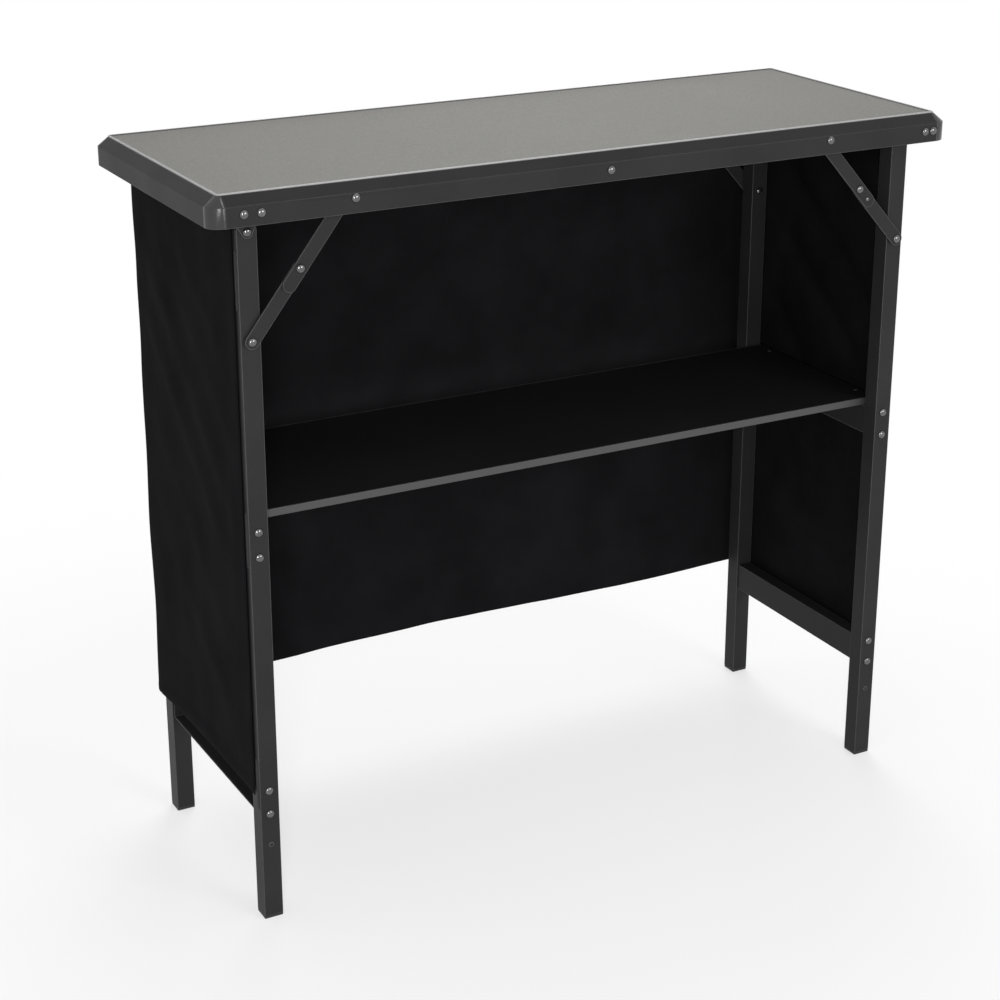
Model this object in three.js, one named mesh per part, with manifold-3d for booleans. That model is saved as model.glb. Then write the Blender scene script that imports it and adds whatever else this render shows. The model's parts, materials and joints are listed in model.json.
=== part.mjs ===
// A folding portable bar: a rimmed metal-faced top on two folding leg frames,
// with folding elbow braces, a lift-off shelf and a fabric skirt on three sides.
// Millimetres, +Z up, origin on the floor under the middle of the top.
// +X runs along the bar, -Y is the open side, +Y is the skirted front.
import * as THREE from "three";
import { mergeVertices } from "three/addons/utils/BufferGeometryUtils.js";
import Module from "manifold-3d";

const wasm = await Module();
wasm.setup();

// Overall size
const TOP_LENGTH = 990.6;
const TOP_DEPTH = 381;
const HEIGHT = 901.7;
const FIT = 0.3;

// Rim section
const RIM_HEIGHT = 34.2;
const RIM_WALL = 1.6;
const RIM_LIP = 8;
const BEVEL_RUN = 13;
const BEVEL_DROP = 10.9;
const LEDGE_REACH = 7;
const CORNER_RADIUS = 18;
const CORNER_CORE = 0.5;

// Top
const SHEET_THICK = 1.2;
const BOARD_THICK = 7;

// Leg frames
const LEG_SIZE = 23.6;
const LEG_WALL = 1.6;
const LEG_END_INSET = 52.3;
const LEG_SIDE_INSET = 40.5;
const LEFT_PIVOT_DROP = 47;
const RIGHT_PIVOT_DROP = 31.7;
const RAIL_HEIGHT = 38;
const RAIL_THICK = 20;
const RAIL_WALL = 2;
const MID_RAIL_Z = 488;
const LOWER_RAIL_Z = 157;
const RAIL_RIVET_PITCH = 31;
const FOOT_BASE = 3;
const FOOT_PLUG = 25;

// Rivets and pins
const RIVET_RADIUS = 2.4;
const RIVET_HEAD = 5;
const RIVET_DOME = 2.2;
const DOME_SHOULDER = 0.94;
const DOME_CROWN = 0.55;
const HOLE_PLAY = 0.3;
const PIN_RADIUS = 3;
const PIN_TAIL = 1.5;

// Hinge brackets
const PLATE_THICK = 2;
const TAB_RADIUS = 7;
const TAB_ARC = [Math.PI * 1.1, Math.PI * 1.9];
const PLATE_MARGIN = 7;
const LEFT_RIVETS = [-13, 7];
const RIGHT_RIVETS = [16, 28];
const BRACKET_RIVET_DROP = 20.5;

// Braces
const LINK_THICK = 2.2;
const LINK_HALF_WIDTH = 8.5;
const LINK_TAIL = 22;
const LEFT_RIM_ARM = 118;
const LEFT_LEG_ARM = 123.7;
const RIGHT_RIM_ARM = 130;
const RIGHT_LEG_ARM = 130;
const BRACE_RIVET_DROP = 17;

// Shelf
const SHELF_OVERHANG = 9;
const SHELF_LEG_GAP = 6.2;
const SHELF_THICK = 9.5;
const SHELF_EDGE = 1.3;

// Skirt
const CLOTH = 1.6;
const SKIRT_HEM_Z = 165;
const SKIRT_LAP = 2;
const SKIRT_BACK_INSET = 7.5;
const SKIRT_TAB_CLEAR = 4;

// Worked out from the sizes above
const HALF_LENGTH = TOP_LENGTH / 2;
const HALF_DEPTH = TOP_DEPTH / 2;
const LEG_X = HALF_LENGTH - LEG_END_INSET;
const FRAME_HALF_WIDTH = HALF_DEPTH - LEG_SIDE_INSET;
const RIM_BOTTOM = HEIGHT - RIM_HEIGHT;
const BEVEL_TOP = HEIGHT - FIT;
const SHEET_BOTTOM = HEIGHT - SHEET_THICK;
const BOARD_TOP = SHEET_BOTTOM - FIT;
const BOARD_BOTTOM = BOARD_TOP - BOARD_THICK;
const LEDGE_TOP = BOARD_BOTTOM - FIT;
const WALL_INNER = HALF_DEPTH - RIM_WALL;
const LEG_HALF = LEG_SIZE / 2;
const LEG_OUTER = FRAME_HALF_WIDTH + LEG_HALF;
const LEG_INNER = FRAME_HALF_WIDTH - LEG_HALF;
const LEG_BOTTOM = FOOT_BASE + FIT;
const TAB_Y = LEG_OUTER + FIT;
const TAB_OUTER = TAB_Y + PLATE_THICK;
const LOWER_LINK_Y = TAB_OUTER + 2 * FIT;
const UPPER_LINK_Y = LOWER_LINK_Y + LINK_THICK + FIT;
const UPPER_LINK_OUTER = UPPER_LINK_Y + LINK_THICK;
const BRACE_Z = HEIGHT - BRACE_RIVET_DROP;
const BRACKET_RIVET_Z = HEIGHT - BRACKET_RIVET_DROP;
const SHELF_HALF_LENGTH = LEG_X + SHELF_OVERHANG;
const SHELF_HALF_DEPTH = LEG_INNER - SHELF_LEG_GAP;
const SKIRT_NEAR_EDGE = FRAME_HALF_WIDTH + SKIRT_LAP;
const SKIRT_BACK_Y = HALF_DEPTH - SKIRT_BACK_INSET;
const SHELF_BOTTOM = MID_RAIL_Z + RAIL_HEIGHT / 2 + FIT;
const ROUND = 8;

const frames = {
  left: {
    sign: -1,
    x: -LEG_X,
    pivot: HEIGHT - LEFT_PIVOT_DROP,
    rimArm: LEFT_RIM_ARM,
    legArm: LEFT_LEG_ARM,
    rivets: LEFT_RIVETS,
  },
  right: {
    sign: 1,
    x: LEG_X,
    pivot: HEIGHT - RIGHT_PIVOT_DROP,
    rimArm: RIGHT_RIM_ARM,
    legArm: RIGHT_LEG_ARM,
    rivets: RIGHT_RIVETS,
  },
};
const sides = { front: -1, back: 1 };

function paint(color, roughness, metalness) {
  return new THREE.MeshStandardMaterial({ color, roughness, metalness });
}
const steel = paint(0x3c3c3d, 0.45, 0.3);
const rivetSteel = paint(0x2a2a2b, 0.25, 0.8);
const topMetal = paint(0x8c8c87, 0.4, 0.6);
const boardWood = paint(0x2b2724, 0.8, 0);
const shelfBlack = paint(0x0b0b0c, 0.6, 0);
const shelfTrim = paint(0x474747, 0.5, 0);
const cloth = paint(0x121214, 0.9, 0);
const plastic = paint(0x151515, 0.6, 0);

// Solids
function solid(geometry) {
  const bare = geometry.clone();
  bare.deleteAttribute("normal");
  bare.deleteAttribute("uv");
  const merged = mergeVertices(bare, 1e-4);
  return new wasm.Manifold(
    new wasm.Mesh({
      numProp: 3,
      vertProperties: merged.attributes.position.array,
      triVerts: new Uint32Array(merged.index.array),
    }),
  );
}

function geometryOf(body) {
  const mesh = body.getMesh();
  const geometry = new THREE.BufferGeometry();
  geometry.setAttribute("position", new THREE.BufferAttribute(mesh.vertProperties, 3));
  geometry.setIndex(new THREE.BufferAttribute(mesh.triVerts, 1));
  geometry.computeVertexNormals();
  return geometry;
}

function joined(...bodies) {
  return bodies.reduce((whole, body) => whole.add(body));
}

function cut(body, ...tools) {
  return tools.reduce((left, tool) => left.subtract(tool), body);
}

// A box between two corners
function block(low, high) {
  const size = high.map((value, axis) => value - low[axis]);
  const middle = high.map((value, axis) => (value + low[axis]) / 2);
  return solid(new THREE.BoxGeometry(...size).translate(...middle));
}

// An outline drawn in X and Z, extruded in Y between the two distances from the
// middle plane, on the side given by its sign
function plateXZ(shape, side, inner, outer) {
  const depth = outer - inner;
  const geometry = new THREE.ExtrudeGeometry(shape, { depth, bevelEnabled: false, curveSegments: ROUND });
  geometry.rotateX(Math.PI / 2);
  geometry.translate(0, side > 0 ? outer : -inner, 0);
  return solid(geometry);
}

// An outline drawn in Y and Z, extruded in X
function plateYZ(shape, low, high) {
  const geometry = new THREE.ExtrudeGeometry(shape, { depth: high - low, bevelEnabled: false });
  const turn = new THREE.Matrix4().makeBasis(
    new THREE.Vector3(0, 1, 0),
    new THREE.Vector3(0, 0, 1),
    new THREE.Vector3(1, 0, 0),
  );
  geometry.applyMatrix4(turn);
  geometry.translate(low, 0, 0);
  return solid(geometry);
}

// An outline drawn in X and Y, extruded in Z
function plateXY(shape, low, high) {
  const geometry = new THREE.ExtrudeGeometry(shape, {
    depth: high - low,
    bevelEnabled: false,
    curveSegments: ROUND,
  });
  geometry.translate(0, 0, low);
  return solid(geometry);
}

// A panel outline with rounded corners, given by its half sizes
function roundedPanel(x, y, radius) {
  const shape = new THREE.Shape();
  shape.absarc(x - radius, y - radius, radius, 0, Math.PI / 2, false);
  shape.absarc(-x + radius, y - radius, radius, Math.PI / 2, Math.PI, false);
  shape.absarc(-x + radius, -y + radius, radius, Math.PI, Math.PI * 1.5, false);
  shape.absarc(x - radius, -y + radius, radius, Math.PI * 1.5, Math.PI * 2, false);
  return shape;
}

function outline(points) {
  return new THREE.Shape(points.map(([a, b]) => new THREE.Vector2(a, b)));
}

// A turned piece along Y: steps are [radius, distance from the middle plane],
// from the inner end to the outer end
function turned(x, z, side, steps) {
  const profile = steps.map(([radius, reach]) => new THREE.Vector2(radius, reach));
  const ends = [new THREE.Vector2(0, steps[0][1]), new THREE.Vector2(0, steps.at(-1)[1])];
  const geometry = new THREE.LatheGeometry([ends[0], ...profile, ends[1]], ROUND);
  if (side < 0) geometry.rotateX(Math.PI);
  geometry.translate(x, 0, z);
  return solid(geometry);
}

function hole(x, z, side, radius, inner, outer) {
  return turned(x, z, side, [
    [radius, inner],
    [radius, outer],
  ]);
}

// The dome of a rivet head that stands on a face at the given reach
function dome(reach) {
  return [
    [RIVET_HEAD, reach],
    [RIVET_HEAD * DOME_SHOULDER, reach + RIVET_DOME / 2],
    [RIVET_HEAD * DOME_CROWN, reach + RIVET_DOME],
  ];
}

const group = new THREE.Group();

function add(name, body, material) {
  const mesh = new THREE.Mesh(geometryOf(body), material);
  mesh.name = name;
  group.add(mesh);
}

// Rim: points are [distance in from the outer face, height]
function rimSection() {
  const ledge = BEVEL_RUN + LEDGE_REACH;
  return [
    [0, RIM_BOTTOM],
    [0, BEVEL_TOP - BEVEL_DROP],
    [BEVEL_RUN, BEVEL_TOP],
    [BEVEL_RUN, LEDGE_TOP],
    [ledge, LEDGE_TOP],
    [ledge, LEDGE_TOP - RIM_WALL],
    [RIM_WALL, LEDGE_TOP - RIM_WALL],
    [RIM_WALL, RIM_BOTTOM + RIM_WALL],
    [RIM_LIP, RIM_BOTTOM + RIM_WALL],
    [RIM_LIP, RIM_BOTTOM],
  ];
}

function rimHoles(side) {
  const spots = [[0, BRACKET_RIVET_Z]];
  for (const frame of Object.values(frames)) {
    spots.push([braceTop(frame), BRACE_Z]);
    for (const offset of frame.rivets) spots.push([frame.x + offset, BRACKET_RIVET_Z]);
  }
  const radius = RIVET_RADIUS + HOLE_PLAY;
  return spots.map(([x, z]) => hole(x, z, side, radius, WALL_INNER - 1, HALF_DEPTH + 1));
}

function makeRim() {
  const section = rimSection();
  const straightX = HALF_LENGTH - CORNER_RADIUS - FIT / 2;
  const straightY = HALF_DEPTH - CORNER_RADIUS - FIT / 2;
  for (const [name, side] of Object.entries(sides)) {
    const shape = outline(section.map(([inset, z]) => [side * (HALF_DEPTH - inset), z]));
    const bar = plateYZ(shape, -straightX, straightX);
    const ledgeX = HALF_LENGTH - BEVEL_RUN - LEDGE_REACH - FIT;
    const spareY = [0, side * (HALF_DEPTH - BEVEL_RUN)];
    const spare = [-1, 1].map((end) => {
      const spareX = [end * ledgeX, end * HALF_LENGTH];
      return block(
        [Math.min(...spareX), Math.min(...spareY), LEDGE_TOP - RIM_WALL - FIT],
        [Math.max(...spareX), Math.max(...spareY), LEDGE_TOP + FIT],
      );
    });
    add(`rim_${name}`, cut(bar, ...rimHoles(side), ...spare), steel);
  }
  for (const [name, frame] of Object.entries(frames)) {
    const shape = outline(section.map(([inset, z]) => [frame.sign * (HALF_LENGTH - inset), z]));
    add(`rim_${name}`, plateXZ(shape, 1, -straightY, straightY), steel);
  }
}

// A quarter of the rim's section turned about each corner's upright axis
function makeCorners() {
  const section = rimSection().filter(([inset]) => inset <= BEVEL_RUN);
  const profile = [...section, section[0]].map(
    ([inset, z]) => new THREE.Vector2(Math.max(CORNER_RADIUS - inset, CORNER_CORE), z),
  );
  const ring = new THREE.LatheGeometry(profile, 4 * ROUND);
  ring.rotateX(Math.PI / 2);
  for (const [sideName, side] of Object.entries(sides)) {
    for (const [endName, frame] of Object.entries(frames)) {
      const x = frame.sign * (HALF_LENGTH - CORNER_RADIUS);
      const y = side * (HALF_DEPTH - CORNER_RADIUS);
      const spanX = [x + (frame.sign * FIT) / 2, x + frame.sign * 2 * CORNER_RADIUS];
      const spanY = [y + (side * FIT) / 2, y + side * 2 * CORNER_RADIUS];
      const quarter = block(
        [Math.min(...spanX), Math.min(...spanY), RIM_BOTTOM - 1],
        [Math.max(...spanX), Math.max(...spanY), HEIGHT + 1],
      );
      const corner = solid(ring.clone().translate(x, y, 0)).intersect(quarter);
      add(`rim_corner_${sideName}_${endName}`, corner, steel);
    }
  }
}

function makeTop() {
  const x = HALF_LENGTH - BEVEL_RUN - FIT;
  const y = HALF_DEPTH - BEVEL_RUN - FIT;
  const shape = roundedPanel(x, y, Math.max(CORNER_RADIUS - BEVEL_RUN - FIT, CORNER_CORE));
  add("top_sheet", plateXY(shape, SHEET_BOTTOM, HEIGHT), topMetal);
  add("top_board", plateXY(shape, BOARD_BOTTOM, BOARD_TOP), boardWood);
}

// A riveted clip behind the rim at mid length, under the ledge that carries the board
function makeClips() {
  for (const [name, side] of Object.entries(sides)) {
    const outer = WALL_INNER - FIT;
    const inner = outer - PLATE_THICK;
    const low = BRACKET_RIVET_Z - TAB_RADIUS;
    const high = LEDGE_TOP - RIM_WALL - FIT;
    const half = TAB_RADIUS + PLATE_THICK;
    const faces = [side * inner, side * outer];
    const plate = block([-half, Math.min(...faces), low], [half, Math.max(...faces), high]);
    const rivet = turned(0, BRACKET_RIVET_Z, side, [
      [RIVET_RADIUS, inner],
      [RIVET_RADIUS, HALF_DEPTH + FIT],
      ...dome(HALF_DEPTH + FIT),
    ]);
    add(`board_clip_${name}`, joined(plate, rivet), steel);
  }
}

// Hinge brackets: a tab beside the leg, held off the rim by two riveted bosses
function makeBracket(name, frame, side) {
  const spots = frame.rivets.map((offset) => frame.x + offset);
  const low = Math.min(spots[0] - PLATE_MARGIN, frame.x - TAB_RADIUS);
  const high = Math.max(spots[1] + PLATE_MARGIN, frame.x + TAB_RADIUS);
  const top = BRACKET_RIVET_Z + PLATE_MARGIN;
  const shoulder = BRACKET_RIVET_Z - PLATE_MARGIN;
  const shape = new THREE.Shape();
  shape.moveTo(high, top);
  shape.lineTo(low, top);
  shape.lineTo(low, shoulder);
  shape.absarc(frame.x, frame.pivot, TAB_RADIUS, ...TAB_ARC, false);
  shape.lineTo(high, shoulder);
  const plate = plateXZ(shape, side, TAB_Y, TAB_OUTER);
  const bosses = spots.map((x) =>
    turned(x, BRACKET_RIVET_Z, side, [
      [RIVET_HEAD, TAB_Y],
      [RIVET_HEAD, WALL_INNER - FIT],
      [RIVET_RADIUS, WALL_INNER - FIT],
      [RIVET_RADIUS, HALF_DEPTH + FIT],
      ...dome(HALF_DEPTH + FIT),
    ]),
  );
  const bore = hole(frame.x, frame.pivot, side, PIN_RADIUS + HOLE_PLAY, TAB_Y - 1, TAB_OUTER + 1);
  add(`hinge_bracket_${name}`, cut(joined(plate, ...bosses), bore), steel);
}

function railRivetHeights() {
  return [MID_RAIL_Z, LOWER_RAIL_Z].flatMap((z) => [z - RAIL_RIVET_PITCH / 2, z + RAIL_RIVET_PITCH / 2]);
}

// A square tube, round over its pivot and open at the foot
function makeLeg(name, frame, side) {
  const shape = new THREE.Shape();
  shape.moveTo(frame.x - LEG_HALF, LEG_BOTTOM);
  shape.lineTo(frame.x + LEG_HALF, LEG_BOTTOM);
  shape.absarc(frame.x, frame.pivot, LEG_HALF, 0, Math.PI, false);
  const body = plateXZ(shape, side, LEG_INNER, LEG_OUTER);
  const inside = LEG_HALF - LEG_WALL;
  const middle = side * FRAME_HALF_WIDTH;
  const bore = block(
    [frame.x - inside, middle - inside, LEG_BOTTOM - 1],
    [frame.x + inside, middle + inside, frame.pivot - LEG_SIZE],
  );
  const pinHole = hole(frame.x, frame.pivot, side, PIN_RADIUS + HOLE_PLAY, LEG_INNER - 1, LEG_OUTER + 1);
  const rivetHoles = railRivetHeights().map((z) =>
    hole(frame.x, z, side, RIVET_RADIUS + HOLE_PLAY, LEG_INNER - 1, LEG_OUTER + 1),
  );
  add(`leg_${name}`, cut(body, bore, pinHole, ...rivetHoles), steel);
}

function makeFoot(name, frame, side) {
  const plug = LEG_HALF - LEG_WALL - FIT;
  const y = side * FRAME_HALF_WIDTH;
  const base = block([frame.x - LEG_HALF, y - LEG_HALF, 0], [frame.x + LEG_HALF, y + LEG_HALF, FOOT_BASE]);
  const stem = block(
    [frame.x - plug, y - plug, FOOT_BASE - 1],
    [frame.x + plug, y + plug, FOOT_BASE + FOOT_PLUG],
  );
  add(`foot_plug_${name}`, joined(base, stem), plastic);
}

function makeLegPin(name, frame, side) {
  const pin = turned(frame.x, frame.pivot, side, [
    [RIVET_HEAD, LEG_INNER - FIT - PIN_TAIL],
    [RIVET_HEAD, LEG_INNER - FIT],
    [PIN_RADIUS, LEG_INNER - FIT],
    [PIN_RADIUS, TAB_OUTER + FIT],
    ...dome(TAB_OUTER + FIT),
  ]);
  add(`leg_pin_${name}`, pin, rivetSteel);
}

// A channel between the legs, open to the outside, riveted through both leg walls
function makeRail(name, frame, z) {
  const half = RAIL_THICK / 2;
  const end = LEG_INNER - FIT;
  const low = z - RAIL_HEIGHT / 2;
  const high = z + RAIL_HEIGHT / 2;
  const bar = block([frame.x - half, -end, low], [frame.x + half, end, high]);
  const faces = [frame.x - frame.sign * (half - RAIL_WALL), frame.x + frame.sign * (half + 1)];
  const hollow = block(
    [Math.min(...faces), -end + RAIL_WALL, low + RAIL_WALL],
    [Math.max(...faces), end - RAIL_WALL, high - RAIL_WALL],
  );
  const rivets = Object.values(sides).flatMap((side) =>
    [-1, 1].map((step) =>
      turned(frame.x, z + (step * RAIL_RIVET_PITCH) / 2, side, [
        [RIVET_RADIUS, end - RAIL_WALL],
        [RIVET_RADIUS, LEG_OUTER + FIT],
        ...dome(LEG_OUTER + FIT),
      ]),
    ),
  );
  add(name, joined(cut(bar, hollow), ...rivets), steel);
}

// Braces: pivots U on the rim, E at the elbow and D on the leg lie in line when open
function braceTop(frame) {
  return frame.x - frame.sign * frame.rimArm;
}

function bracePoints(frame) {
  const top = new THREE.Vector2(braceTop(frame), BRACE_Z);
  const foot = new THREE.Vector2(frame.x, frame.pivot - frame.legArm);
  return { top, foot, elbow: top.clone().lerp(foot, 0.5) };
}

// A strap with round ends between two points
function strap(from, to) {
  const along = Math.atan2(to.y - from.y, to.x - from.x);
  const shape = new THREE.Shape();
  shape.absarc(from.x, from.y, LINK_HALF_WIDTH, along + Math.PI / 2, along + Math.PI * 1.5, false);
  shape.absarc(to.x, to.y, LINK_HALF_WIDTH, along - Math.PI / 2, along + Math.PI / 2, false);
  return shape;
}

function makeBrace(name, frame, side) {
  const { top, foot, elbow } = bracePoints(frame);
  const tail = elbow.clone().add(foot.clone().sub(elbow).setLength(LINK_TAIL));
  const play = RIVET_RADIUS + HOLE_PLAY;
  const upperHoles = [top, elbow].map((p) =>
    hole(p.x, p.y, side, play, UPPER_LINK_Y - 1, UPPER_LINK_OUTER + 1),
  );
  const lowerOuter = LOWER_LINK_Y + LINK_THICK;
  const lowerHoles = [elbow, foot].map((p) => hole(p.x, p.y, side, play, LOWER_LINK_Y - 1, lowerOuter + 1));
  const upper = plateXZ(strap(top, tail), side, UPPER_LINK_Y, UPPER_LINK_OUTER);
  const lower = plateXZ(strap(elbow, foot), side, LOWER_LINK_Y, lowerOuter);
  add(`brace_upper_${name}`, cut(upper, ...upperHoles), steel);
  add(`brace_lower_${name}`, cut(lower, ...lowerHoles), steel);
  const pin = turned(top.x, top.y, side, [
    [RIVET_HEAD, UPPER_LINK_Y - FIT - PIN_TAIL],
    [RIVET_HEAD, UPPER_LINK_Y - FIT],
    [RIVET_RADIUS, UPPER_LINK_Y - FIT],
    [RIVET_RADIUS, UPPER_LINK_OUTER + FIT],
    [RIVET_HEAD, UPPER_LINK_OUTER + FIT],
    [RIVET_HEAD, WALL_INNER - FIT],
    [RIVET_RADIUS, WALL_INNER - FIT],
    [RIVET_RADIUS, HALF_DEPTH + FIT],
    ...dome(HALF_DEPTH + FIT),
  ]);
  add(`brace_rim_pin_${name}`, pin, rivetSteel);
  const elbowRivet = turned(elbow.x, elbow.y, side, [
    [RIVET_HEAD, LOWER_LINK_Y - FIT - PIN_TAIL],
    [RIVET_HEAD, LOWER_LINK_Y - FIT],
    [RIVET_RADIUS, LOWER_LINK_Y - FIT],
    [RIVET_RADIUS, UPPER_LINK_OUTER + FIT],
    ...dome(UPPER_LINK_OUTER + FIT),
  ]);
  add(`brace_elbow_rivet_${name}`, elbowRivet, rivetSteel);
  const footRivet = turned(foot.x, foot.y, side, [
    [RIVET_HEAD, LEG_OUTER + FIT],
    [RIVET_HEAD, LOWER_LINK_Y - FIT],
    [RIVET_RADIUS, LOWER_LINK_Y - FIT],
    [RIVET_RADIUS, lowerOuter + FIT],
    ...dome(lowerOuter + FIT),
  ]);
  add(`brace_foot_rivet_${name}`, footRivet, rivetSteel);
}

function makeFrames() {
  for (const [end, frame] of Object.entries(frames)) {
    for (const [sideName, side] of Object.entries(sides)) {
      const name = `${sideName}_${end}`;
      makeBracket(name, frame, side);
      makeLeg(name, frame, side);
      makeFoot(name, frame, side);
      makeLegPin(name, frame, side);
      makeBrace(name, frame, side);
    }
    makeRail(`mid_rail_${end}`, frame, MID_RAIL_Z);
    makeRail(`lower_rail_${end}`, frame, LOWER_RAIL_Z);
  }
}

function makeShelf() {
  const x = SHELF_HALF_LENGTH;
  const top = SHELF_BOTTOM + SHELF_THICK;
  const inner = SHELF_HALF_DEPTH - SHELF_EDGE - FIT;
  add("shelf_panel", block([-x, -inner, SHELF_BOTTOM], [x, inner, top]), shelfBlack);
  for (const [name, side] of Object.entries(sides)) {
    const faces = [side * (SHELF_HALF_DEPTH - SHELF_EDGE), side * SHELF_HALF_DEPTH];
    const strip = block([-x, Math.min(...faces), SHELF_BOTTOM], [x, Math.max(...faces), top]);
    add(`shelf_edge_${name}`, strip, shelfTrim);
  }
}

// Skirt: two end panels on the outside of the legs and one long panel under the rim
function makeSkirt() {
  const top = RIM_BOTTOM - FIT;
  const inner = LEG_X + LEG_HALF + FIT;
  for (const [end, frame] of Object.entries(frames)) {
    const notch = Math.min(frame.pivot, frames.left.pivot) - TAB_RADIUS - SKIRT_TAB_CLEAR;
    const shape = outline([
      [-SKIRT_NEAR_EDGE, SKIRT_HEM_Z],
      [SKIRT_BACK_Y - FIT, SKIRT_HEM_Z],
      [SKIRT_BACK_Y - FIT, notch],
      [LEG_OUTER - FIT, notch],
      [LEG_OUTER - FIT, top],
      [-SKIRT_NEAR_EDGE, top],
    ]);
    const faces = [frame.sign * inner, frame.sign * (inner + CLOTH)];
    add(`skirt_${end}`, plateYZ(shape, Math.min(...faces), Math.max(...faces)), cloth);
  }
  const x = inner + CLOTH;
  add("skirt_back", block([-x, SKIRT_BACK_Y, SKIRT_HEM_Z], [x, SKIRT_BACK_Y + CLOTH, top]), cloth);
}

makeTop();
makeRim();
makeCorners();
makeClips();
makeFrames();
makeShelf();
makeSkirt();

export default group;
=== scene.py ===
import json
import math

import bmesh
import bpy
from mathutils import Matrix, Vector, noise


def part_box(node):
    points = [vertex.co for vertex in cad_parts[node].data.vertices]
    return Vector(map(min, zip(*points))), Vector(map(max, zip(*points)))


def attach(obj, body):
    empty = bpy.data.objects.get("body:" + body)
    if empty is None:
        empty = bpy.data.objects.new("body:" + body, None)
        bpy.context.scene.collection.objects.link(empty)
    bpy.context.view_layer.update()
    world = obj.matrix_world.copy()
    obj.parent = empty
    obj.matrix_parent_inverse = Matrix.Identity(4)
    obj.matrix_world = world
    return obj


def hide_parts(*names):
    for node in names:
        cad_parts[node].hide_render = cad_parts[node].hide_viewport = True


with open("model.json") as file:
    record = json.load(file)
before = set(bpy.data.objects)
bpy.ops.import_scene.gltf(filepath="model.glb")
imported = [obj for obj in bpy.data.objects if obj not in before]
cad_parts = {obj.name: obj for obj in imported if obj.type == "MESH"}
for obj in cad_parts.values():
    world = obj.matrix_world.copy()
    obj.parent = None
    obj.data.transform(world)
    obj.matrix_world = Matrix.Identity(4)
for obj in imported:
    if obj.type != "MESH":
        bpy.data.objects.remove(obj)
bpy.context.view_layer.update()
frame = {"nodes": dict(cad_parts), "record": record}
nodes = frame["nodes"]
scene = bpy.context.scene
scene.view_settings.view_transform = "Standard"

# All lengths are in metres and all named angles in degrees

# Camera at the photograph's angle
SENSOR_WIDTH = 36
LENS_PER_WIDTH = 2.162
CAMERA_SHIFT = -0.05
CAMERA_PLACE = (-1.2846, -2.2964, 1.4303)
CAMERA_YAW = -28.384
CAMERA_PITCH = -19.9458
VIEW_DEPTH = 50


def place_camera():
    data = bpy.data.cameras.new("camera")
    data.sensor_width = SENSOR_WIDTH
    data.lens = SENSOR_WIDTH * LENS_PER_WIDTH
    data.shift_y = CAMERA_SHIFT
    data.clip_end = VIEW_DEPTH
    camera = bpy.data.objects.new("camera", data)
    scene.collection.objects.link(camera)
    camera.location = CAMERA_PLACE
    yaw, pitch = math.radians(CAMERA_YAW), math.radians(CAMERA_PITCH)
    camera.rotation_euler = (math.pi / 2 + pitch, 0, yaw)
    scene.camera = camera


# Node helpers
def new_material(name):
    material = bpy.data.materials.new(name)
    material.use_nodes = True
    tree = material.node_tree
    return material, tree, tree.nodes["Principled BSDF"]


def add_node(tree, kind, **values):
    node = tree.nodes.new(kind)
    for key, value in values.items():
        if key in node.inputs:
            node.inputs[key].default_value = value
        else:
            setattr(node, key, value)
    return node


def noise_value(tree, scale, detail=2.0, rough=0.5, stretch=None):
    source = add_node(tree, "ShaderNodeTexCoord").outputs["Object"]
    if stretch:
        mapping = add_node(tree, "ShaderNodeMapping", Scale=stretch)
        tree.links.new(source, mapping.inputs["Vector"])
        source = mapping.outputs["Vector"]
    texture = add_node(tree, "ShaderNodeTexNoise", Scale=scale, Detail=detail, Roughness=rough)
    tree.links.new(source, texture.inputs["Vector"])
    return texture.outputs["Fac"]


# Ramp stops for a noise value, which mostly lies between 0.3 and 0.7
def between(low, high):
    return [(0.3, low), (0.7, high)]


def ramp(tree, source, stops):
    node = add_node(tree, "ShaderNodeValToRGB")
    elements = node.color_ramp.elements
    while len(elements) < len(stops):
        elements.new(0.5)
    for element, (place, value) in zip(elements, stops):
        element.position = place
        element.color = (*value, 1) if isinstance(value, tuple) else (value, value, value, 1)
    tree.links.new(source, node.inputs["Fac"])
    return node.outputs["Color"]


def ramped(tree, shader, socket, source, stops):
    tree.links.new(ramp(tree, source, stops), shader.inputs[socket])


# Two colours mixed in full, or by a factor that varies over the surface
def blended(tree, kind, a, b, factor=None):
    node = add_node(tree, "ShaderNodeMix", data_type="RGBA", blend_type=kind)
    node.inputs["Factor"].default_value = 1
    if factor:
        tree.links.new(factor, node.inputs["Factor"])
    tree.links.new(a, node.inputs["A"])
    tree.links.new(b, node.inputs["B"])
    return node.outputs["Result"]


# Each layer of bump is a height, a strength and a distance
def bumped(tree, shader, *layers, normal=None):
    for height, strength, distance in layers:
        node = add_node(tree, "ShaderNodeBump", Strength=strength, Distance=distance)
        tree.links.new(height, node.inputs["Height"])
        if normal:
            tree.links.new(normal, node.inputs["Normal"])
        normal = node.outputs["Normal"]
    tree.links.new(normal, shader.inputs["Normal"])


# Rounded normal at the edges, and a mask that is 1 on the edges and 0 on the faces, for the
# painted highlight along the edges
EDGE_ROUND_RADIUS = 0.0014
EDGE_HIGHLIGHT_START, EDGE_HIGHLIGHT_FULL = 0.995, 0.9


def rounded_edge_and_highlight_mask(tree):
    rounded = add_node(tree, "ShaderNodeBevel", samples=8, Radius=EDGE_ROUND_RADIUS)
    plain = add_node(tree, "ShaderNodeNewGeometry")
    turn = add_node(tree, "ShaderNodeVectorMath", operation="DOT_PRODUCT")
    tree.links.new(rounded.outputs["Normal"], turn.inputs[0])
    tree.links.new(plain.outputs["Normal"], turn.inputs[1])
    mask = add_node(tree, "ShaderNodeMapRange", interpolation_type="SMOOTHSTEP")
    mask.inputs["From Min"].default_value = EDGE_HIGHLIGHT_START
    mask.inputs["From Max"].default_value = EDGE_HIGHLIGHT_FULL
    tree.links.new(turn.outputs["Value"], mask.inputs["Value"])
    return rounded.outputs["Normal"], mask.outputs["Result"]
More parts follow.
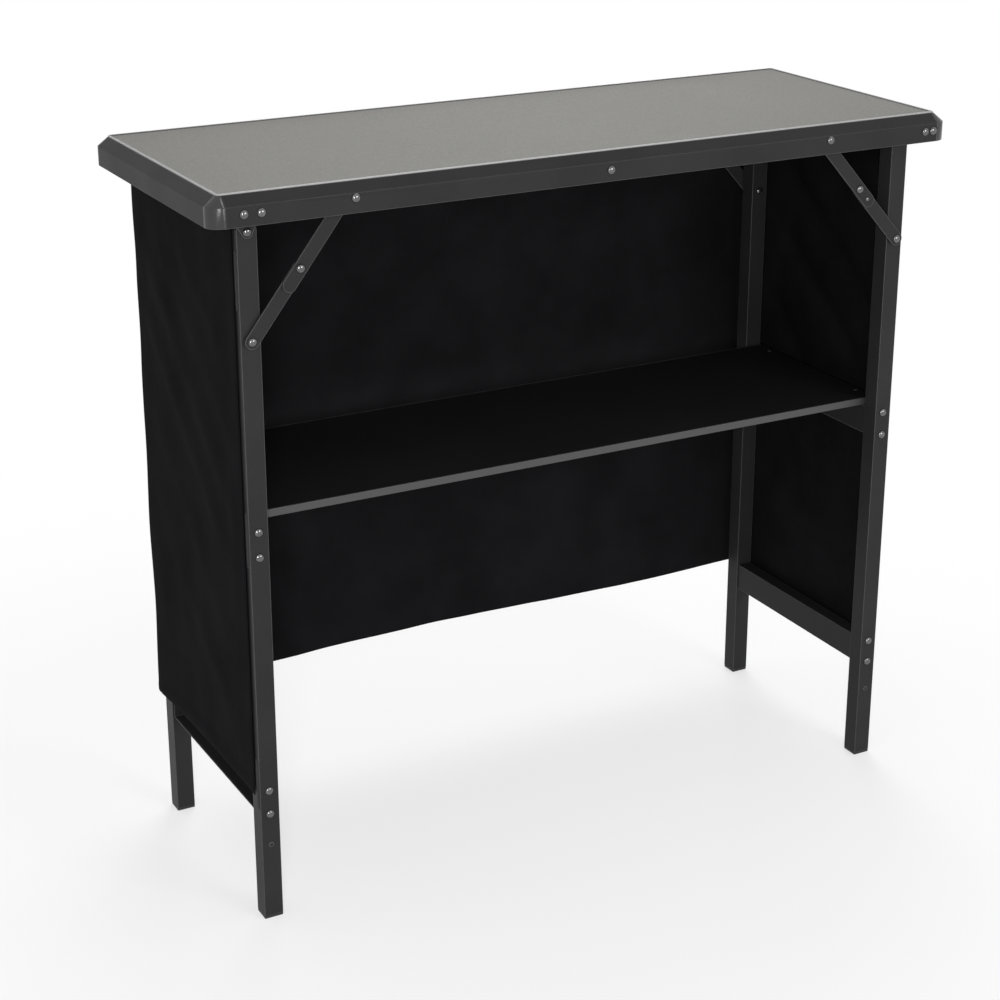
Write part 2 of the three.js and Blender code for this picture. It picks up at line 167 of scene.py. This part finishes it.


# Satin powder coat: dark grey with a fine orange-peel skin, and a paler grey painted along its
# edges as a painted highlight
def powder_coat(name, low, high, rough, gloss):
    material, tree, shader = new_material(name)
    cloud = noise_value(tree, 9, 3)
    grain = noise_value(tree, 1500, 2, 0.6)
    base = ramp(tree, cloud, between(low, high))
    fleck = ramp(tree, grain, between(0.72, 1.0))
    coat = blended(tree, "MULTIPLY", base, fleck)
    rounded, edge = rounded_edge_and_highlight_mask(tree)
    # Painted highlight: a paler grey mixed in along the edges
    painted_edge_highlight = ramp(tree, grain, between(0.1, 0.16))
    tree.links.new(blended(tree, "MIX", coat, painted_edge_highlight, edge), shader.inputs["Base Color"])
    ramped(tree, shader, "Roughness", cloud, between(rough - 0.05, rough + 0.06))
    peel = noise_value(tree, 620, 1)
    bumped(tree, shader, (peel, 0.25, 0.0003), (grain, 0.2, 0.0001), normal=rounded)
    shader.inputs["Specular IOR Level"].default_value = gloss
    return material


# Plain metal or plastic: one noise varies the grey, the roughness and the bump
def grained(name, grain, grey, rough, bump, metallic=0, specular=0.5):
    material, tree, shader = new_material(name)
    value = noise_value(tree, *grain)
    ramped(tree, shader, "Base Color", value, between(*grey))
    ramped(tree, shader, "Roughness", value, between(*rough))
    bumped(tree, shader, (value, *bump))
    shader.inputs["Metallic"].default_value = metallic
    shader.inputs["Specular IOR Level"].default_value = specular
    return material


def rivet_metal():
    return grained(
        "rivet_gloss", (350, 2), (0.11, 0.17), (0.1, 0.18), (0.15, 0.0002), metallic=0.9
    )


# Dark inner half of the bead, and its outer half painted pale as a painted highlight
def edge_metal():
    return grained(
        "top_edge_bead", (700, 2, 0.5, (0.15, 0.15, 1)), (0.02, 0.035), (0.36, 0.46),
        (0.03, 0.00005), specular=0.8,
    )


# Painted highlight: pale grey metal for the bead's outer half
def bead_painted_highlight():
    return grained(
        "top_edge_painted_highlight", (500, 2, 0.5), (0.31, 0.39), (0.44, 0.54), (0.04, 0.00005), metallic=0.3
    )


def moulded(name, low, high):
    return grained(name, (1100, 2, 0.6), (low, high), (0.48, 0.6), (0.2, 0.0002))


# Grey sheet with a fine metallic speckle
def speckled_sheet():
    material, tree, shader = new_material("top_sheet_speckle")
    fine = noise_value(tree, 900, 3, 0.7)
    coarse = noise_value(tree, 260, 2, 0.6)
    wash = noise_value(tree, 4, 2)
    dark, middle, light = (0.115, 0.114, 0.103), (0.19, 0.187, 0.17), (0.315, 0.311, 0.285)
    speck = ramp(tree, fine, [(0.25, dark), (0.5, middle), (0.78, light)])
    dots = ramp(tree, coarse, between(0.86, 1.0))
    drift = ramp(tree, wash, between(0.94, 1.0))
    colour = blended(tree, "MULTIPLY", blended(tree, "MULTIPLY", speck, dots), drift)
    tree.links.new(colour, shader.inputs["Base Color"])
    ramped(tree, shader, "Roughness", coarse, between(0.5, 0.62))
    bumped(tree, shader, (fine, 0.25, 0.0002))
    shader.inputs["Specular IOR Level"].default_value = 0.16
    return material


def board_fibre():
    material, tree, shader = new_material("board_fibre")
    chips = noise_value(tree, 190, 4, 0.7, (1, 0.5, 1))
    dark, light = (0.018, 0.016, 0.014), (0.05, 0.044, 0.038)
    ramped(tree, shader, "Base Color", chips, between(dark, light))
    bumped(tree, shader, (chips, 0.3, 0.0004))
    shader.inputs["Roughness"].default_value = 0.8
    return material


def shelf_laminate():
    material, tree, shader = new_material("shelf_laminate")
    grain = noise_value(tree, 700, 2, 0.5)
    cloud = noise_value(tree, 6, 2)
    ramped(tree, shader, "Base Color", grain, between(0.004, 0.0085))
    ramped(tree, shader, "Roughness", cloud, between(0.5, 0.6))
    bumped(tree, shader, (grain, 0.2, 0.0002))
    shader.inputs["Specular IOR Level"].default_value = 0.3
    return material


# Black woven cloth: two crossed thread waves under a soft mottle and small wrinkles
def woven_cloth():
    material, tree, shader = new_material("skirt_weave")
    uv = add_node(tree, "ShaderNodeUVMap", uv_map="flat")
    weave = add_node(tree, "ShaderNodeMath", operation="MULTIPLY")
    for k, direction in enumerate(("X", "Y")):
        wave = add_node(tree, "ShaderNodeTexWave", bands_direction=direction)
        wave.inputs["Scale"].default_value = 320
        wave.inputs["Distortion"].default_value = 0.6
        tree.links.new(uv.outputs["UV"], wave.inputs["Vector"])
        tree.links.new(wave.outputs["Fac"], weave.inputs[k])
    thread_height = weave.outputs["Value"]
    cloud = noise_value(tree, 14, 3)
    dark, light = (0.0065, 0.0065, 0.0071), (0.021, 0.021, 0.0232)
    thread = ramp(tree, thread_height, [(0.1, dark), (0.9, light)])
    shade = ramp(tree, cloud, between(0.7, 1.0))
    tree.links.new(blended(tree, "MULTIPLY", thread, shade), shader.inputs["Base Color"])
    wrinkle = noise_value(tree, 38, 3, 0.6, (1, 1, 0.6))
    bumped(tree, shader, (wrinkle, 0.25, 0.004), (thread_height, 0.3, 0.0003))
    shader.inputs["Roughness"].default_value = 0.7
    shader.inputs["Specular IOR Level"].default_value = 0.008
    return material


def hook_tape():
    material, tree, shader = new_material("hook_tape")
    hooks = noise_value(tree, 900, 3, 0.8)
    ramped(tree, shader, "Base Color", hooks, [(0.35, 0.003), (0.7, 0.03)])
    bumped(tree, shader, (hooks, 0.8, 0.001))
    shader.inputs["Roughness"].default_value = 0.85
    return material


MATERIALS = {
    "frame_steel": powder_coat("frame_powder_coat", 0.025, 0.031, 0.42, 0.07),
    "rivet_steel": rivet_metal(),
    "top_metal": speckled_sheet(),
    "board": board_fibre(),
    "shelf_black": shelf_laminate(),
    "shelf_trim": moulded("shelf_band", 0.034, 0.048),
    "foot_plastic": moulded("foot_moulding", 0.006, 0.012),
    "skirt_cloth": woven_cloth(),
}
CORNER = powder_coat("corner_coat", 0.02, 0.026, 0.25, 0.5)
BEAD = edge_metal()
BEAD_HIGHLIGHT = bead_painted_highlight()
TAPE = hook_tape()


def give(piece, material):
    piece.data.materials.clear()
    piece.data.materials.append(material)


# Soft edges on the rigid pieces. The braces and rivets turn against each other, so a
# higher limit leaves their round outlines as they are.
EDGE_WIDE, EDGE_FINE = 0.0018, 0.0006
EDGE_SEGMENTS = 3
EDGE_LIMIT, TURNING_LIMIT = 33, 50
WELD_GAP = 0.00002


def dress_frame():
    for entry in frame["record"]["subparts"]:
        name, slot = entry["node"], entry["material_slot"]
        node = nodes[name]
        rounded = name.startswith("rim_corner")
        give(node, CORNER if rounded else MATERIALS[slot])
        if slot == "skirt_cloth":
            continue
        wide = name.startswith(("leg_front", "leg_back", "rim_"))
        turning = slot == "rivet_steel" or name.startswith("brace_")
        weld = node.modifiers.new("weld", "WELD")
        weld.merge_threshold = WELD_GAP
        bevel = node.modifiers.new("edge", "BEVEL")
        bevel.width = EDGE_WIDE if wide else EDGE_FINE
        bevel.segments = EDGE_SEGMENTS
        bevel.limit_method = "ANGLE"
        bevel.angle_limit = math.radians(TURNING_LIMIT if turning else EDGE_LIMIT)
        bevel.harden_normals = rounded
        for polygon in node.data.polygons:
            polygon.use_smooth = rounded or slot == "rivet_steel"


# Sides and ends of the bar, each with its sign along y or x
SIDES = (("front", -1), ("back", 1))
ENDS = (("left", -1), ("right", 1))


def leg_body(end):
    return "right_frame" if end == "right" else "tabletop"


def middle_x(box):
    return (box[0].x + box[1].x) / 2


def outer_y(box, side):
    return box[0].y if side < 0 else box[1].y


# New meshes
def mesh_object(name, build, body, material):
    mesh = bpy.data.meshes.new(name)
    bm = bmesh.new()
    build(bm)
    bmesh.ops.recalc_face_normals(bm, faces=bm.faces)
    bm.to_mesh(mesh)
    bm.free()
    piece = bpy.data.objects.new(name, mesh)
    scene.collection.objects.link(piece)
    give(piece, material)
    for polygon in mesh.polygons:
        polygon.use_smooth = True
    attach(piece, body)
    return piece


# A domed button standing on a face, with its axis along the given normal
BUTTON_RINGS = 4
BUTTON_SIDES = 20


def button(bm, centre, normal, radius, height):
    turn = Vector((0, 0, 1)).rotation_difference(Vector(normal)).to_matrix().to_4x4()
    place = Matrix.Translation(centre) @ turn
    rings = []
    for step in range(BUTTON_RINGS):
        rise = step / BUTTON_RINGS * math.pi / 2
        r, h = radius * math.cos(rise), height * math.sin(rise)
        ring = []
        for k in range(BUTTON_SIDES):
            angle = k * math.tau / BUTTON_SIDES
            spot = Vector((r * math.cos(angle), r * math.sin(angle), h))
            ring.append(bm.verts.new(place @ spot))
        rings.append(ring)
    tip = bm.verts.new(place @ Vector((0, 0, height)))
    around = [(k, (k + 1) % BUTTON_SIDES) for k in range(BUTTON_SIDES)]
    for low, high in zip(rings, rings[1:]):
        for k, n in around:
            bm.faces.new((low[k], low[n], high[n], high[k]))
    for k, n in around:
        bm.faces.new((rings[-1][k], rings[-1][n], tip))
    bm.faces.new(list(reversed(rings[0])))


# Half-round bead between the sheet and the rim, its outer half painted pale as a painted highlight
BEAD_WIDTH = 0.0042
BEAD_RISE = 0.0014
BEAD_OVERHANG = 0.0004
BEAD_SINK = 0.0001
BEAD_STEPS = 8
SHEET_CORNER = 0.0047
LEAST_CORNER = 0.0006
CORNER_STEPS = 6


def rounded_loop(low, high, inset):
    radius = max(SHEET_CORNER - inset, LEAST_CORNER)
    loop = []
    corners = ((high.x, high.y), (low.x, high.y), (low.x, low.y), (high.x, low.y))
    for quarter, (x, y) in enumerate(corners):
        centre_x = x - math.copysign(inset + radius, x)
        centre_y = y - math.copysign(inset + radius, y)
        for k in range(CORNER_STEPS + 1):
            angle = (quarter + k / CORNER_STEPS) * math.pi / 2
            loop.append((centre_x + radius * math.cos(angle), centre_y + radius * math.sin(angle)))
    return loop


def make_bead():
    low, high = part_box("top_sheet")

    def build(bm):
        loops = []
        for k in range(BEAD_STEPS + 1):
            angle = math.pi * k / BEAD_STEPS
            inset = BEAD_WIDTH / 2 * (1 - math.cos(angle)) - BEAD_OVERHANG
            z = high.z - BEAD_SINK + BEAD_RISE * math.sin(angle)
            loops.append([bm.verts.new((x, y, z)) for x, y in rounded_loop(low, high, inset)])
        for one, two in zip(loops, loops[1:] + loops[:1]):
            for k in range(len(one)):
                n = (k + 1) % len(one)
                bm.faces.new((one[k], one[n], two[n], two[k]))

    bead = mesh_object("top_edge_bead", build, "tabletop", BEAD)
    bead.data.materials.append(BEAD_HIGHLIGHT)
    faces_per_step = len(bead.data.polygons) // (BEAD_STEPS + 1)
    # The outer half of the bead takes the pale painted highlight
    for polygon in bead.data.polygons[:faces_per_step * BEAD_STEPS // 2]:
        polygon.material_index = 1


# Domed caps on every rivet head, and the inner tails of the brace foot rivets
CAP_RADIUS = 0.0054
CAP_RISE = 0.00295
HEAD_RISE = 0.0025
RIM_RIVET_X = (-0.456, -0.436, 0, 0.459, 0.471)
RIM_RIVET_Z = 0.8812
RAIL_RIVET_Z = (0.1415, 0.1725, 0.4725, 0.5035)


def make_rivet_caps():
    groups = {}

    def add(body, x, y, z, side):
        groups.setdefault(body, []).append((Vector((x, y, z)), side))

    for side_name, side in SIDES:
        rim_face = outer_y(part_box(f"rim_{side_name}"), side)
        for x in RIM_RIVET_X:
            add("tabletop", x, rim_face, RIM_RIVET_Z, side)
        for end, _ in ENDS:
            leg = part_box(f"leg_{side_name}_{end}")
            for z in RAIL_RIVET_Z:
                add(leg_body(end), middle_x(leg), outer_y(leg, side), z, side)
            moves = end == "right"
            for name, body in (
                ("leg_pin", leg_body(end)),
                ("brace_rim_pin", "tabletop"),
                ("brace_elbow_rivet", f"brace_upper_{side_name}" if moves else "tabletop"),
                ("brace_foot_rivet", f"brace_lower_{side_name}" if moves else "tabletop"),
            ):
                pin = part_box(f"{name}_{side_name}_{end}")
                x, z = middle_x(pin), (pin[0].z + pin[1].z) / 2
                add(body, x, outer_y(pin, side) - side * HEAD_RISE, z, side)
                if name == "brace_foot_rivet":
                    add(leg_body(end), x, outer_y(leg, -side), z, -side)
    for body, spots in groups.items():
        def build(bm):
            for spot, side in spots:
                button(bm, spot, (0, side, 0), CAP_RADIUS, CAP_RISE)

        mesh_object(f"rivet_caps_{body}", build, body, MATERIALS["rivet_steel"])


# Small stop rivets on the right braces, leg plugs and shelf pins, each with radius and rise
STOP_RIVET = (0.0028, 0.0013)
STOP_RIVET_BELOW_ELBOW = 0.019
LEG_PLUG = (0.0036, 0.0009)
LEG_PLUG_Z = 0.1
SHELF_PIN = (0.003, 0.001)
SHELF_PIN_INSET = 0.008
SHELF_PIN_Y = 0.1


def one_button(name, spot, normal, size, body, slot):
    def build(bm):
        button(bm, spot, normal, *size)

    mesh_object(name, build, body, MATERIALS[slot])


def make_buttons():
    for side_name, side in SIDES:
        out = (0, side, 0)
        for end, _ in ENDS:
            if end == "right":
                body = f"brace_upper_{side_name}"
                elbow = sum(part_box(f"brace_elbow_rivet_{side_name}_{end}"), Vector()) / 2
                foot = sum(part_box(f"brace_foot_rivet_{side_name}_{end}"), Vector()) / 2
                along = foot - elbow
                along.y = 0
                spot = elbow + along.normalized() * STOP_RIVET_BELOW_ELBOW
                spot.y = outer_y(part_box(f"{body}_{end}"), side)
                one_button(f"stop_rivet_{side_name}", spot, out, STOP_RIVET, body, "rivet_steel")
            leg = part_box(f"leg_{side_name}_{end}")
            spot = Vector((middle_x(leg), outer_y(leg, side), LEG_PLUG_Z))
            name = f"leg_plug_{side_name}_{end}"
            one_button(name, spot, out, LEG_PLUG, leg_body(end), "frame_steel")
    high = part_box("shelf_panel")[1]
    for end, sign in ENDS:
        for side_name, side in SIDES:
            spot = Vector((sign * (high.x - SHELF_PIN_INSET), side * SHELF_PIN_Y, high.z))
            name = f"shelf_pin_{end}_{side_name}"
            one_button(name, spot, (0, 0, 1), SHELF_PIN, "shelf", "shelf_trim")


# Hook tape between the near legs and the skirt's upright edges, in three patches per leg
TAPE_SPANS = ((0.148, 0.215), (0.459, 0.527), (0.765, 0.835))
TAPE_ROWS, TAPE_COLUMNS = 34, 5
TAPE_INSET = 0.001
TAPE_WIDTH = 0.0082
TAPE_FRAY = 0.0006
TAPE_RISE, TAPE_NAP = 0.0011, 0.0004


def make_tape():
    for end, sign in ENDS:
        low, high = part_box(f"leg_front_{end}")
        face = low.x if sign < 0 else high.x

        def build(bm):
            for bottom, top in TAPE_SPANS:
                grid = []
                for i in range(TAPE_ROWS + 1):
                    z = bottom + (top - bottom) * i / TAPE_ROWS
                    row = []
                    for j in range(TAPE_COLUMNS + 1):
                        rough = noise.noise(Vector((i * 1.7, j * 1.3, bottom * 40)))
                        at_side = j in (0, TAPE_COLUMNS)
                        fray = TAPE_FRAY * rough if at_side else 0
                        y = low.y + TAPE_INSET + TAPE_WIDTH * j / TAPE_COLUMNS + fray
                        at_edge = at_side or i in (0, TAPE_ROWS)
                        rise = 0 if at_edge else TAPE_RISE + TAPE_NAP * rough
                        row.append(bm.verts.new((face + sign * rise, y, z)))
                    grid.append(row)
                for lower, upper in zip(grid, grid[1:]):
                    for j in range(TAPE_COLUMNS):
                        bm.faces.new((lower[j], lower[j + 1], upper[j + 1], upper[j]))

        mesh_object(f"hook_tape_{end}", build, leg_body(end), TAPE)


# Skirt: one cloth round three sides, hung from the rim. On the flat cloth s runs from the
# left upright edge round the back to the right one, and z is the height.
SKIRT_STEP = 0.007
SKIRT_BEND = 0.012
BEND_STEPS = 4


# Points along the cloth, each with its outward direction and its s
def skirt_path():
    left, right, back = (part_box(f"skirt_{name}") for name in ("left", "right", "back"))
    x0, x1 = middle_x(left), middle_x(right)
    y0, y1 = left[0].y, (back[0].y + back[1].y) / 2
    r = SKIRT_BEND
    points = []
    run = 0

    def line(a, b):
        nonlocal run
        a, b = Vector(a), Vector(b)
        length = (b - a).length
        count = max(2, round(length / SKIRT_STEP))
        direction = (b - a).normalized()
        out = Vector((-direction.y, direction.x))
        for k in range(count):
            points.append((a + direction * length * k / count, out, run + length * k / count))
        run += length

    def bend(centre, start, stop):
        nonlocal run
        length = r * abs(stop - start)
        for k in range(BEND_STEPS):
            angle = start + (stop - start) * k / BEND_STEPS
            out = Vector((math.cos(angle), math.sin(angle)))
            points.append((Vector(centre) + out * r, out, run + length * k / BEND_STEPS))
        run += length

    line((x0, y0), (x0, y1 - r))
    bend((x0 + r, y1 - r), math.pi, math.pi / 2)
    line((x0 + r, y1), (x1 - r, y1))
    bend((x1 - r, y1 - r), math.pi / 2, 0)
    line((x1, y1 - r), (x1, y0))
    points.append((Vector((x1, y0)), Vector((1, 0)), run))
    return points, run, left[0].z, left[1].z


def smooth_step(a, b, value):
    t = min(1, max(0, (value - a) / (b - a)))
    return t * t * (3 - 2 * t)


# Creases: each runs from one point (s, z) to another, with its depth and width
CREASES = [
    ((0.03, 0.52), (0.30, 0.78), 0.003, 0.024),
    ((0.02, 0.60), (0.27, 0.82), 0.002, 0.020),
    ((0.05, 0.45), (0.30, 0.70), 0.0025, 0.019),
    ((0.06, 0.72), (0.24, 0.84), 0.0015, 0.018),
    ((0.08, 0.36), (0.31, 0.60), 0.0018, 0.024),
    ((0.06, 0.24), (0.26, 0.42), 0.0015, 0.022),
    ((0.42, 0.82), (0.78, 0.71), 0.006, 0.026),
    ((0.50, 0.84), (0.95, 0.78), 0.005, 0.022),
    ((0.44, 0.74), (0.70, 0.62), 0.005, 0.026),
    ((0.86, 0.82), (1.12, 0.70), 0.005, 0.024),
    ((0.80, 0.70), (1.10, 0.60), 0.004, 0.028),
    ((0.46, 0.44), (0.74, 0.33), 0.004, 0.028),
    ((0.82, 0.42), (1.16, 0.32), 0.004, 0.026),
    ((1.30, 0.80), (1.54, 0.62), 0.006, 0.020),
    ((1.31, 0.70), (1.52, 0.54), 0.005, 0.018),
    ((1.32, 0.84), (1.52, 0.76), 0.004, 0.016),
    ((1.30, 0.60), (1.48, 0.40), 0.004, 0.018),
    ((1.32, 0.42), (1.50, 0.28), 0.003, 0.018),
]
CREASE_TAIL = 0.2


def crease_height(s, z):
    total = 0
    for (s0, z0), (s1, z1), depth, width in CREASES:
        line = Vector((s1 - s0, z1 - z0))
        point = Vector((s - s0, z - z0))
        along = point.dot(line) / line.length_squared
        if not -CREASE_TAIL < along < 1 + CREASE_TAIL:
            continue
        off = abs(point.x * line.y - point.y * line.x) / line.length
        fade_in = smooth_step(-CREASE_TAIL, 0.25, along)
        fade = fade_in * (1 - smooth_step(0.75, 1 + CREASE_TAIL, along))
        total += depth * fade * math.exp(-((off / width) ** 2))
    return total


# Where the cloth is held and how far it may stray from its path
HELD_BELOW_RIM = 0.05
HELD_AT_EDGE = 0.03
SIDE_RUN = 0.335
BEND_MARGIN = 0.02
WAVE, RIPPLE = 0.0035, 0.0018
INSET = 0.001
LEG_Y, LEG_REACH = 0.15, 0.05
SIDE_SWING_IN = 0.003
SIDE_CLEARANCE = 0.0004
BETWEEN_RAILS = ((0.18, 0.465), (0.525, 0.83))
BACK_BELLY = 0.006
BACK_SWING_IN, BACK_SWING_OUT = 0.008, 0.009

# Lower edge, hem, and the slots at the back corners where the hinge brackets pass
SAG, SAG_HEIGHT = 0.002, 0.12
HEM_RISE, HEM_HEIGHT = 0.0005, 0.014
SLOT_X = 0.44
SLOT_Y = (0.158, 0.169)
SLOT_BOTTOM = 0.853
CLOTH_THICKNESS = 0.0009


def make_skirt():
    points, run, bottom, top = skirt_path()
    rows = round((top - bottom) / SKIRT_STEP)

    def offset(s, z, place):
        hang = smooth_step(0, HELD_BELOW_RIM, top - z)
        wave = WAVE * noise.noise(Vector((s * 6, z * 3, 0.5)))
        ripple = RIPPLE * noise.noise(Vector((s * 19, z * 9, 4)))
        value = hang * (wave + ripple + crease_height(s, z) - INSET)
        if s < SIDE_RUN - BEND_MARGIN or s > run - SIDE_RUN + BEND_MARGIN:
            free = smooth_step(0, HELD_AT_EDGE, min(s, run - s))
            leg = max(0.0, 1 - min(abs(abs(place.y) - LEG_Y), LEG_REACH) / LEG_REACH)
            between_rails = any(low < z < high for low, high in BETWEEN_RAILS)
            deepest = -SIDE_SWING_IN * free * (1 - leg) if between_rails else 0
            return max(deepest, value * (0.25 + 0.75 * free)) + SIDE_CLEARANCE
        belly = BACK_BELLY * math.sin(math.pi * (s - SIDE_RUN) / (run - 2 * SIDE_RUN)) * hang
        bulge = belly * noise.noise(Vector((s * 2.3, z * 1.4, 9)))
        return max(-BACK_SWING_IN * hang, min(BACK_SWING_OUT, value + bulge))

    def in_slot(place, z):
        return abs(place.x) > SLOT_X and SLOT_Y[0] < place.y < SLOT_Y[1] and z > SLOT_BOTTOM

    def build(bm):
        uv = bm.loops.layers.uv.new("flat")
        grid = []
        for i in range(rows + 1):
            z = bottom + (top - bottom) * i / rows
            free = 1 - smooth_step(0, SAG_HEIGHT, z - bottom)
            hem = HEM_RISE if z - bottom < HEM_HEIGHT else 0
            row = []
            for place, out, s in points:
                sag = SAG * math.sin(math.pi * s / run * 5 + 0.6) * free
                spot = place + out * (offset(s, z, place) + hem)
                row.append((bm.verts.new((spot.x, spot.y, z + sag)), s, z, place))
            grid.append(row)
        for lower, upper in zip(grid, grid[1:]):
            for j in range(len(points) - 1):
                corners = (lower[j], lower[j + 1], upper[j + 1], upper[j])
                middle = sum((corner[3] for corner in corners), Vector((0, 0))) / 4
                height = sum(corner[2] for corner in corners) / 4
                if in_slot(middle, height):
                    continue
                face = bm.faces.new([corner[0] for corner in corners])
                for loop, (_, s, z, _) in zip(face.loops, corners):
                    loop[uv].uv = (s, z)
        loose = [vertex for vertex in bm.verts if not vertex.link_faces]
        bmesh.ops.delete(bm, geom=loose, context="VERTS")

    skirt = mesh_object("skirt", build, "tabletop", MATERIALS["skirt_cloth"])
    thick = skirt.modifiers.new("thickness", "SOLIDIFY")
    thick.thickness = CLOTH_THICKNESS
    thick.offset = 1
    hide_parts("skirt_left", "skirt_right", "skirt_back")


# Floor, world and lamps: the floor and the background look white where they are seen
# directly, in a reflection or through glass, and the floor keeps a soft shadow
FLOOR_SIZE = 12
FLOOR_DROP = 0.0005
FLOOR_GREY = (0.9, 0.9, 0.9, 1)
WHITE_NEAR, WHITE_NEAR_RADIUS, WHITE_FULL_RADIUS = 0.58, 0.5, 1.5
WHITE = (1, 1, 1, 1)
FILL = 0.65


def seen_directly(tree):
    light_path = add_node(tree, "ShaderNodeLightPath")
    value = light_path.outputs["Is Camera Ray"]
    for kind in ("Is Glossy Ray", "Is Transmission Ray"):
        either = add_node(tree, "ShaderNodeMath", operation="MAXIMUM")
        tree.links.new(value, either.inputs[0])
        tree.links.new(light_path.outputs[kind], either.inputs[1])
        value = either.outputs["Value"]
    return value


def mix_to_output(tree, kind, factor, plain, white):
    blend = add_node(tree, "ShaderNodeMixShader")
    tree.links.new(factor, blend.inputs["Fac"])
    tree.links.new(plain, blend.inputs[1])
    tree.links.new(white, blend.inputs[2])
    output = add_node(tree, kind)
    tree.links.new(blend.outputs["Shader"], output.inputs["Surface"])


def floor_material():
    material = bpy.data.materials.new("floor_pale")
    material.use_nodes = True
    tree = material.node_tree
    tree.nodes.clear()
    diffuse = add_node(tree, "ShaderNodeBsdfDiffuse", Color=FLOOR_GREY)
    white = add_node(tree, "ShaderNodeEmission", Strength=1)
    coords = add_node(tree, "ShaderNodeTexCoord")
    far = add_node(tree, "ShaderNodeVectorMath", operation="LENGTH")
    tree.links.new(coords.outputs["Object"], far.inputs[0])
    spread = add_node(tree, "ShaderNodeMapRange", interpolation_type="SMOOTHSTEP")
    spread.inputs["From Min"].default_value = WHITE_NEAR_RADIUS
    spread.inputs["From Max"].default_value = WHITE_FULL_RADIUS
    spread.inputs["To Min"].default_value = WHITE_NEAR
    spread.inputs["To Max"].default_value = 1
    tree.links.new(far.outputs["Value"], spread.inputs["Value"])
    share = add_node(tree, "ShaderNodeMath", operation="MULTIPLY")
    tree.links.new(seen_directly(tree), share.inputs[0])
    tree.links.new(spread.outputs["Result"], share.inputs[1])
    mix_to_output(
        tree, "ShaderNodeOutputMaterial", share.outputs["Value"],
        diffuse.outputs["BSDF"], white.outputs["Emission"],
    )
    return material


def make_floor():
    mesh = bpy.data.meshes.new("floor")
    bm = bmesh.new()
    bmesh.ops.create_grid(bm, x_segments=1, y_segments=1, size=FLOOR_SIZE)
    bm.to_mesh(mesh)
    bm.free()
    floor = bpy.data.objects.new("floor", mesh)
    scene.collection.objects.link(floor)
    floor.location.z = -FLOOR_DROP
    floor.data.materials.append(floor_material())


def make_world():
    world = bpy.data.worlds.new("studio")
    scene.world = world
    world.use_nodes = True
    tree = world.node_tree
    tree.nodes.clear()
    fill = add_node(tree, "ShaderNodeBackground", Color=WHITE, Strength=FILL)
    white = add_node(tree, "ShaderNodeBackground", Color=WHITE, Strength=1)
    mix_to_output(
        tree, "ShaderNodeOutputWorld", seen_directly(tree),
        fill.outputs["Background"], white.outputs["Background"],
    )


# Each lamp has a place, a point it is aimed at, a size and a power in watts
LAMPS = (
    ("key", (1.0, 1.6, 2.7), (0, 0, 0.5), (1.6, 1.6), 22),
    ("front", (1.0, -3.0, 1.5), (0, 0, 0.75), (1.3, 0.9), 30),
    ("left_strip", (-1.7, -2.9, 1.2), (0, 0, 0.6), (0.3, 1.6), 45),
    ("back", (1.5, 3.0, 0.6), (0.1, 0.18, 0.5), (1.6, 0.9), 60),
)


def make_light():
    for name, place, target, size, power in LAMPS:
        data = bpy.data.lights.new(name, "AREA")
        data.shape = "RECTANGLE"
        data.size, data.size_y = size
        data.energy = power
        light = bpy.data.objects.new(name, data)
        scene.collection.objects.link(light)
        light.location = place
        aim = Vector(target) - Vector(place)
        light.rotation_mode = "QUATERNION"
        light.rotation_quaternion = aim.to_track_quat("-Z", "Y")
        light.visible_camera = False


place_camera()
dress_frame()
make_bead()
make_rivet_caps()
make_buttons()
make_tape()
make_skirt()
make_floor()
make_world()
make_light()
